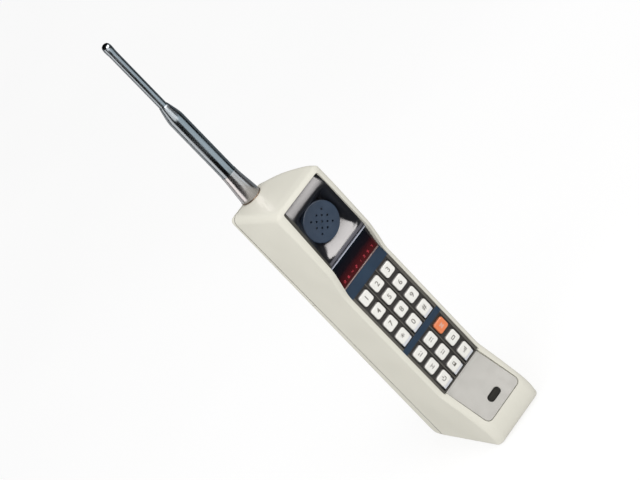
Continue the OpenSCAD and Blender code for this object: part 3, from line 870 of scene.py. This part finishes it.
def key_skirt(cx, cz, mat):
    """Sloped lip under the caps that end a group."""
    lip = [(-18.45, cz - 3.8), (-18.3, cz - 4.5), (-17.8, cz - 6.1), (-17.5, cz - 6.3), (-17.2, cz - 6.1),
           (-17.2, cz - 3.7)]
    ob = prism("skirt", lip, cx - KEY_W / 2 + .3, cx + KEY_W / 2 - .3, "x", [mat])
    bevel(ob, .25, 30, 3)
    apply_modifiers(ob)
    shade(ob, 40)
    return ob


def text_mesh(ch, size):
    """A thin flat character, in XY."""
    cu = bpy.data.curves.new("legend", "FONT")
    cu.body = ch
    cu.size = size
    cu.align_x, cu.align_y = "CENTER", "CENTER"
    cu.extrude = 0.05
    cu.offset = 0.04
    cu.resolution_u = 6
    ob = add("legend", cu)
    me = evaluated_mesh(ob)
    bpy.data.objects.remove(ob)
    return me


def marks_mesh(bars):
    """Thin flat bars, in XY."""
    bm = bmesh.new()
    for x, z, w, h in bars:
        pts = round_rect(w, h, min(w, h) * .48, 4, x, z)
        n = len(pts)
        top = [bm.verts.new((px, pz, .05)) for px, pz in pts]
        low = [bm.verts.new((px, pz, -.05)) for px, pz in pts]
        bm.faces.new(top)
        bm.faces.new(list(reversed(low)))
        for i in range(n):
            bm.faces.new((top[i], low[i], low[(i + 1) % n], top[(i + 1) % n]))
    me = bpy.data.meshes.new("marks")
    bm.to_mesh(me)
    bm.free()
    return me


def legend(name, cx, cz, mat):
    """A thin inlaid legend that follows the dish of its cap."""
    star = name == "key_star"
    drop = STAR_DROP if star else 0
    if name in MARKS:
        me = marks_mesh(MARKS[name])
    else:
        ch = {"key_star": "*", "key_hash": "#"}.get(name, name[-1])
        me = text_mesh(ch, STAR if star else LEGEND)
    ob = add("legend", me)

    def wrap(bm):
        bmesh.ops.triangulate(bm, faces=[f for f in bm.faces if len(f.verts) > 4])
        for v in bm.verts:
            x, z, proud = v.co.x, v.co.y - drop, 0.03 if v.co.z > 0 else -0.1
            v.co = Vector((cx + x, KEY_TOP + dish(x, z) - proud, cz + z)) * MM
        bmesh.ops.recalc_face_normals(bm, faces=bm.faces)
    remesh(ob, wrap)
    me.materials.clear()
    me.materials.append(mat)
    for p in me.polygons:
        p.material_index = 0
    return ob


for row, names in enumerate(KEY_NAMES):
    for col, name in enumerate(names):
        cx, cz = (col - 1) * PITCH, ROW_Z[row]
        send = name == "key_send"
        mat = M["orange"] if send else M["key"]
        parts = [key_cap(cx, cz, mat), legend(name, cx, cz, M["ink_pale"] if send else M["ink"])]
        if row in SKIRT_ROWS:
            parts.append(key_skirt(cx, cz, M["skirt"]))
        put(join(name + "_cap", parts), name + "_button", "key_orange" if send else "key_cap", name)

# ---------------------------------------------------------------- earpiece
EAR_Z, EAR_R, EAR_Y = 190.3, 13.2, -24.3
HOLE_R = EAR_R + .12                  # the cup's hole for the disc
RIM_LOW, RIM_TOP = 168.9, 206.8       # lower and upper edge of the cup's hollow
CUP_LOW, CUP_HIGH = 166.8, 216.05
FOOT_LOW = 167.4                      # the lower edge's paler band runs from here to the hollow
HOLLOW_FLOOR = -18.3


def cup_edge(z):
    """Half width of the cup at a height, just inside the housing's opening."""
    return lookup([(166.7, 18.6), (216, 17.3)], z)


def rim_side(x):
    """Width of the strips at the cup's sides."""
    return 2.6 if x < 0 else 1.4


def soft_min(a, b, k):
    """The smaller of two values, blended where they come within k of each other."""
    return min(a, b) - k / 4 * max(0.0, 1 - abs(a - b) / k) ** 2


def cup_surface(x, z):
    """Depth of the cup's face: side strips, a lip that leans back at the top, and the hollow round the disc.
    The hollow slopes gently from its lower edge and more steeply from its sides."""
    y = lookup([(166, -24.9), (214, -29.2), (217, -29.5)], z)
    side = cup_edge(z) - abs(x) - rim_side(x)
    corner = 5.5
    near_side, near_end = corner - side, corner - min(z - RIM_LOW, RIM_TOP - z)
    inside = corner - hypot(near_side, near_end) if near_side > 0 and near_end > 0 else side
    if z > RIM_TOP:
        # The lip leans back more and more over its first 4 mm
        s = z - RIM_TOP
        k = min(s, 4.0)
        return y + ease(side / 3 + .9) * (.37 * k + .025 * k * k + .57 * (s - k))
    if inside > 0 and z > RIM_LOW:
        # The hollow deepens from its lower edge, its sides and its upper edge
        s = z - RIM_LOW
        ramp = .71 * s - .010 * s * s
        wall = inside * (1.1 if x < 0 else 1.9)
        y = min(y + max(0.0, soft_min(soft_min(ramp, wall, 3.5), 1.3 * (RIM_TOP - z), 1.0)), HOLLOW_FLOOR)
    return y


def cup_look(x, z):
    """Which of the cup's materials a point has: the left strip, the foot, the lip or the hollow."""
    if x < 0 and cup_edge(z) + x < rim_side(x):
        return 1
    if FOOT_LOW < z < RIM_LOW + .2:
        return 3
    return 2 if z > RIM_TOP else 0


def earpiece_cup():
    """A skin over the opening with a round hole for the disc, and a short sleeve in the hole."""
    cols, rows = 76, 98
    across, along = [k / 2 for k in range(-2, 3)], [k / 4 for k in range(-4, 5)]
    verts = []
    for j in range(rows + 1):
        z = CUP_LOW + (CUP_HIGH - CUP_LOW) * j / rows
        round_off = 1 + .6 * exp(-((z - RIM_TOP) / 4) ** 2)
        for i in range(cols + 1):
            x = cup_edge(z) * (2 * i / cols - 1)
            near = [(x + a, clamp(z + b * round_off, CUP_LOW, CUP_HIGH)) for a in across for b in along]
            verts.append((x, sum(cup_surface(a, b) for a, b in near) / len(near), z))
    lines = rings_of(verts, cols + 1)
    faces = [(a[i], a[i + 1], b[i + 1], b[i]) for a, b in zip(lines, lines[1:]) for i in range(cols)]
    ob = make_object("ear_cup", verts, faces, [M["cup"], M["strip"], M["lip"], M["foot"]])
    if ob.data.polygons[len(ob.data.polygons) // 2].normal.y > 0:
        remesh(ob, lambda bm: bmesh.ops.reverse_faces(bm, faces=bm.faces))
    for p in ob.data.polygons:
        p.material_index = cup_look(p.center.x / MM, p.center.z / MM)
    thicken(ob, 1.4)
    bore(ob, HOLE_R, 20, 0, -35, EAR_Z, seg=128)
    shade(ob, 42)
    put(ob, "handset", "black_gloss", "earpiece_cup")
    outer = EAR_R + .45
    sleeve = [(HOLE_R, 0), (outer, 0), (outer, 3.6), (HOLE_R, 3.6), (HOLE_R, 0)]
    ring = turn_to_front(revolve("ear_sleeve", sleeve, [M["cup"]], seg=128), 0, -20.6, EAR_Z)
    put(ring, "handset", "black_gloss")


def earpiece_grille():
    """Gently domed disc with a rounded edge and a square pattern of sound holes."""
    edge_r, steps = .7, 8
    dome = [(EAR_R * .95 * k / steps, -.15 + .3 * (k / steps) ** 2) for k in range(steps + 1)]
    edge = corner_arc(EAR_R - edge_r, .15 + edge_r, edge_r, -90, 6)[1:]
    profile = dome + edge + [(EAR_R, 3.4), (0, 3.4)]
    ob = turn_to_front(revolve("ear_disc", profile, [M["disc"]], seg=128), 0, EAR_Y, EAR_Z)
    pitch = 3.85 * sqrt(0.5)
    for i in range(-2, 3):
        for j in range(-2, 3):
            if i * i + j * j <= 4:
                bore(ob, .75, 6, (i - j) * pitch, EAR_Y - 2, EAR_Z + (i + j) * pitch, seg=20)
    finish_edges(ob, .1, 35)
    put(ob, "handset", "grille_blue", "earpiece_grille")


earpiece_cup()
earpiece_grille()

# ---------------------------------------------------------------- display
# Bars of a figure: where each one is, in widths and half heights, and whether it lies level
SEGMENTS = {"a": (0, 1, True), "b": (.5, .5, False), "c": (.5, -.5, False), "d": (0, -1, True),
            "e": (-.5, -.5, False), "f": (-.5, .5, False), "g": (0, 0, True)}
FIGURES = {"1": "bc", "2": "abged", "3": "abgcd", "4": "fgbc", "5": "afgcd", "6": "afgecd", "7": "abc",
           "8": "abcdefg"}
FIGURE_PITCH, FIGURE_Z = 4.1, 3.6


def lit_digits(text, w=1.2, h=1.8, t=.34):
    """Small seven-segment figures showing through the lens."""
    bars = []
    for i, ch in enumerate(text):
        cx = (i - (len(text) - 1) / 2) * FIGURE_PITCH
        for sx, sz, level in (SEGMENTS[s] for s in FIGURES[ch]):
            bw, bh = (w - t, t) if level else (t, h / 2 - t * .6)
            outline = round_rect(bw, bh, min(bw, bh) * .45, 2, cx + sx * w, FIGURE_Z + sz * h / 2)
            bars.append(prism("bar", outline, -.05, .1, "y", [M["glow"]]))
    put(lean(join("lit_digits", bars), WINDOW), "handset", "led_red")


def display_sill():
    """Slim moulded edge under the window."""
    outline = [(-.35, -.75), (-.75, -.45), (-.75, -.1), (-.45, .15), (.6, .15), (.6, -.75)]
    ob = lean(prism("display_sill", outline, -18.3, 18.3, "x", [M["sill"]]), WINDOW)
    finish_edges(ob, .12)
    put(ob, "handset", "dark_plastic")


lit_digits("86421357")
display_sill()


# ---------------------------------------------------------------- chin
def chin_plate():
    """Painted plate with rounded lower corners, a slight hollow under the keypad and the microphone slot."""
    margin, upper = .48, .72
    half, length = CHIN_HALF - margin, CHIN_LEN - margin
    corners = [(-half, -length), (half, -length), (half, upper), (-half, upper)]
    outline = round_corners(corners, [4.3, 4.3, 0, 0], 8)
    ob = prism("chin_cover", outline, 0, .95, "y", [M["plate"]])
    boolean(ob, prism("c", round_rect(11.2, 5.2, 2.5, 10, 0, -MIC_DROP), -2, 3))
    bevel(ob, .22, 40, 3)
    apply_modifiers(ob)

    def hollow(bm):
        for k in range(1, 12):
            geom = bm.verts[:] + bm.edges[:] + bm.faces[:]
            bmesh.ops.bisect_plane(bm, geom=geom, plane_co=(0, 0, -.7 * k * MM), plane_no=(0, 0, 1))
        for v in bm.verts:
            if v.co.y < .5 * MM:
                v.co.y += .38 * MM * exp(-((v.co.z / MM + 1.2) / 2.4) ** 2)
    remesh(ob, hollow)
    lean(ob, CHIN)
    shade(ob, 40)
    weighted(ob)
    put(ob, "handset", "plate_grey", "chin_plate")


def mic_gauze():
    """Slightly domed screen at the bottom of the microphone slot."""
    crown, verts = 1.1, []
    outline = round_rect(10.8, 4.8, 2.35, 8)
    for k, y in ((1.0, .5), (.85, .2), (.6, .05), (.3, 0)):
        verts += [(x * k, crown + y, -MIC_DROP + z * k) for x, z in outline]
    rings = rings_of(verts, len(outline))
    faces = walls(rings) + fan(rings[-1], len(verts))
    verts.append((0, crown, -MIC_DROP))
    ob = make_object("mic_gauze", verts, faces, [M["gauze"]])
    thicken(ob, .15)
    put(lean(ob, CHIN), "handset", "rubber_dark")


chin_plate()
mic_gauze()


# ---------------------------------------------------------------- antenna
SLEEVE_LOW, SLEEVE_TOP = 237, 297.8
SLEEVE_R, WHIP_R = 5.35, 2.8
BASE_RING_TOP = 216.05


def antenna():
    """Flared ferrule with a dark brown ring of painted shade at its base, thick sleeve, and a thin whip with
    a rounded tip.
    """
    ferrule = [(0, 209.5), (3.0, 209.5), (3.25, 209.8), (3.25, 215.2), (7.3, 215.2), (7.45, 215.35),
               (7.45, 215.8), (7.3, 215.95), (7.15, 216.0), (7.1, 217.2), (6.95, 219), (6.72, 222),
               (6.42, 225), (6.1, 228), (5.82, 231), (5.65, 233.6), (5.56, 235.8), (5.52, SLEEVE_LOW),
               (0, SLEEVE_LOW)]
    sleeve = [(0, SLEEVE_LOW), (SLEEVE_R, SLEEVE_LOW), (SLEEVE_R, 285.6), (5.3, 286.8), (5.12, 288.2),
              (4.8, 290), (4.3, 292.4), (3.8, 294.8), (3.4, 296.6), (3.15, 297.5), (3.05, SLEEVE_TOP),
              (0, SLEEVE_TOP)]
    whip = [(0, SLEEVE_TOP), (WHIP_R, SLEEVE_TOP), (WHIP_R, 343.6), (2.83, 344.3), (2.95, 345.2),
            (3.03, 346.3), (3.05, 347.5), (3.0, 348.7), (2.75, 349.9), (2.2, 350.8), (1.3, 351.35),
            (0, 351.5)]
    for name, profile, look, slot in (("antenna_ferrule", ferrule, "ferrule", "ferrule_metal"),
                                      ("antenna_sleeve", sleeve, "antenna", "antenna_black"),
                                      ("antenna_whip", whip, "antenna", "antenna_black")):
        ob = revolve(name + "_turned", profile, [M[look], M["base_ring_painted_shade"]], ANT_X, ANT_Y, 96, 50)
        # Faces below BASE_RING_TOP take the dark brown of painted shade.
        for p in ob.data.polygons:
            p.material_index = int(p.center.z < BASE_RING_TOP * MM)
        put(ob, "antenna", slot, name)


antenna()


# ---------------------------------------------------------------- latch springs
def coil(x, y, z0, z1, radius, wire, turns, mats):
    """A wire coil about an upright axis, with its end turns closed up flat."""
    verts = []
    n, sides = int(turns * 20), 8
    for i in range(n + 1):
        t = i / n
        flat = clamp(min(t, 1 - t) * turns)
        a = 2 * pi * turns * t
        z = z0 + wire + (z1 - z0 - 2 * wire) * (ease(t) * (1 - flat) + t * flat)
        for k in range(sides):
            b = 2 * pi * k / sides
            r = radius - wire + wire * cos(b)
            verts.append((x + r * cos(a), y + r * sin(a), z + wire * sin(b)))
    rings = rings_of(verts, sides)
    return make_object("coil", verts, walls(rings) + caps(rings), mats, auto=50)


springs = join("latch_coils", [coil(x, 33.2, 117.7, 123.65, 1.3, .22, 6, [M["steel"]]) for x in (-3.4, 3.4)])
put(springs, "battery_pack", "screw_steel", "latch_spring")
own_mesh(springs)

# ---------------------------------------------------------------- camera, floor and lights
VIEW_AZ, VIEW_EL, VIEW_ROLL = 20.4856, 24.5274, -44.0094
CAMERA_AT = Vector((-472.16, -1263.34, 787.41)) * MM
LENS = 135.05
WORLD_LEVEL, FLOOR_GLOW = 0.93, 0.71


def camera():
    """A long lens, rolled so that the phone lies slantwise in the picture."""
    a, e, r = (radians(k) for k in (VIEW_AZ, VIEW_EL, VIEW_ROLL))
    back = Vector((-sin(a) * cos(e), -cos(a) * cos(e), sin(e)))
    side = (-back).cross(Vector((0, 0, 1))).normalized()
    up = side.cross(-back)
    x, y = cos(r) * side + sin(r) * up, cos(r) * up - sin(r) * side
    cam = add("camera", bpy.data.cameras.new("camera"))
    cam.data.lens = LENS
    cam.data.sensor_width = 36
    cam.data.clip_end = 50
    cam.matrix_world = Matrix.Translation(CAMERA_AT) @ Matrix((x, y, back)).transposed().to_4x4()
    scene.camera = cam


def studio():
    """An even white surround that shines on the phone but isn't mirrored in it."""
    world = bpy.data.worlds.new("studio")
    scene.world = world
    world.use_nodes = True
    bg = world.node_tree.nodes["Background"]
    bg.inputs["Color"].default_value = (1, 1, 1, 1)
    bg.inputs["Strength"].default_value = WORLD_LEVEL
    world.cycles_visibility.glossy = False
    m, nt, b = new_material("floor_white")
    wire(nt, b, Base_Color=ramp(nt, noise(nt, 3, 2), (0.35, 0.245), (0.65, 0.255)), Roughness=0.9,
         Emission_Color=(1, 1, 1), Emission_Strength=FLOOR_GLOW)
    w, z = 9000, -.02
    corners = [(-w, -w, z), (w, -w, z), (w, w, z), (-w, w, z)]
    floor = make_object("floor", corners, [(0, 1, 2, 3)], [m], flat=True)
    floor.visible_glossy = False


def softbox(name, az, el, dist, width, height, level, aim, color=(1, 1, 1), diffuse=False, glossy=True,
            only=()):
    """A panel light seen from aim at az (from -Y towards +X) and el above level, in degrees and metres.
    Its level is its brightness against white. It can be kept to a few pieces."""
    a, e = radians(az), radians(el)
    d = Vector((sin(a) * cos(e), -cos(a) * cos(e), sin(e)))
    li = bpy.data.lights.new(name, "AREA")
    li.shape = "RECTANGLE"
    li.size, li.size_y = width, height
    li.energy = level * pi * width * height
    li.color = color
    ob = add(name, li)
    ob.matrix_world = Matrix.Translation(aim + d * dist) @ d.to_track_quat("Z", "Y").to_matrix().to_4x4()
    ob.visible_camera = False
    ob.visible_diffuse = diffuse
    ob.visible_glossy = glossy
    if only:
        ob.light_linking.receiver_collection = bpy.data.collections.new(name + "_on")
        for piece in only:
            ob.light_linking.receiver_collection.objects.link(piece)


camera()
studio()
EAR = Vector((0, EAR_Y * MM, 0.185))
ANTENNA = Vector((ANT_X * MM, ANT_Y * MM, 0.26))
TAPER = ANTENNA + Vector((0, 0, 0.032))
NOT_SHELL = [ob for ob in scene.objects if ob.type == "MESH" and not ob.name.endswith("_shell")]
AERIAL = [ob for ob in scene.objects if ob.name.startswith("antenna_") and ob.name.endswith("_turned")]
softbox("key_box", 20, 34, 1.0, 1.7, 0.55, 9.0, EAR, (1, 0.96, 0.945), only=NOT_SHELL)
softbox("left_card", -95, -15, 0.36, 0.224, 0.48, 2.3, ANTENNA, (1, 0.955, 0.93), only=AERIAL)
softbox("rim_card", -150, -15, 0.36, 0.3, 0.48, 0.9, ANTENNA, only=AERIAL)
softbox("right_card", 110, -15, 0.36, 0.4, 0.48, 0.3, ANTENNA, (0.88, 1, 1.07), only=AERIAL)
softbox("front_card", 16, -22, 0.34, 0.41, 0.29, 1.45, ANTENNA, (0.9, 1, 1.05), only=AERIAL)
softbox("taper_card", -20, 0, 0.5, 0.66, 0.17, 2.6, TAPER, (1, 0.97, 0.95), only=AERIAL)
softbox("fill", -75, 25, 0.42, 0.42, 0.42, 1.0, EAR, diffuse=True, glossy=False)
softbox("top_panel", 10, 64, 0.7, 0.6, 0.6, 1.3, EAR, diffuse=True, glossy=False)
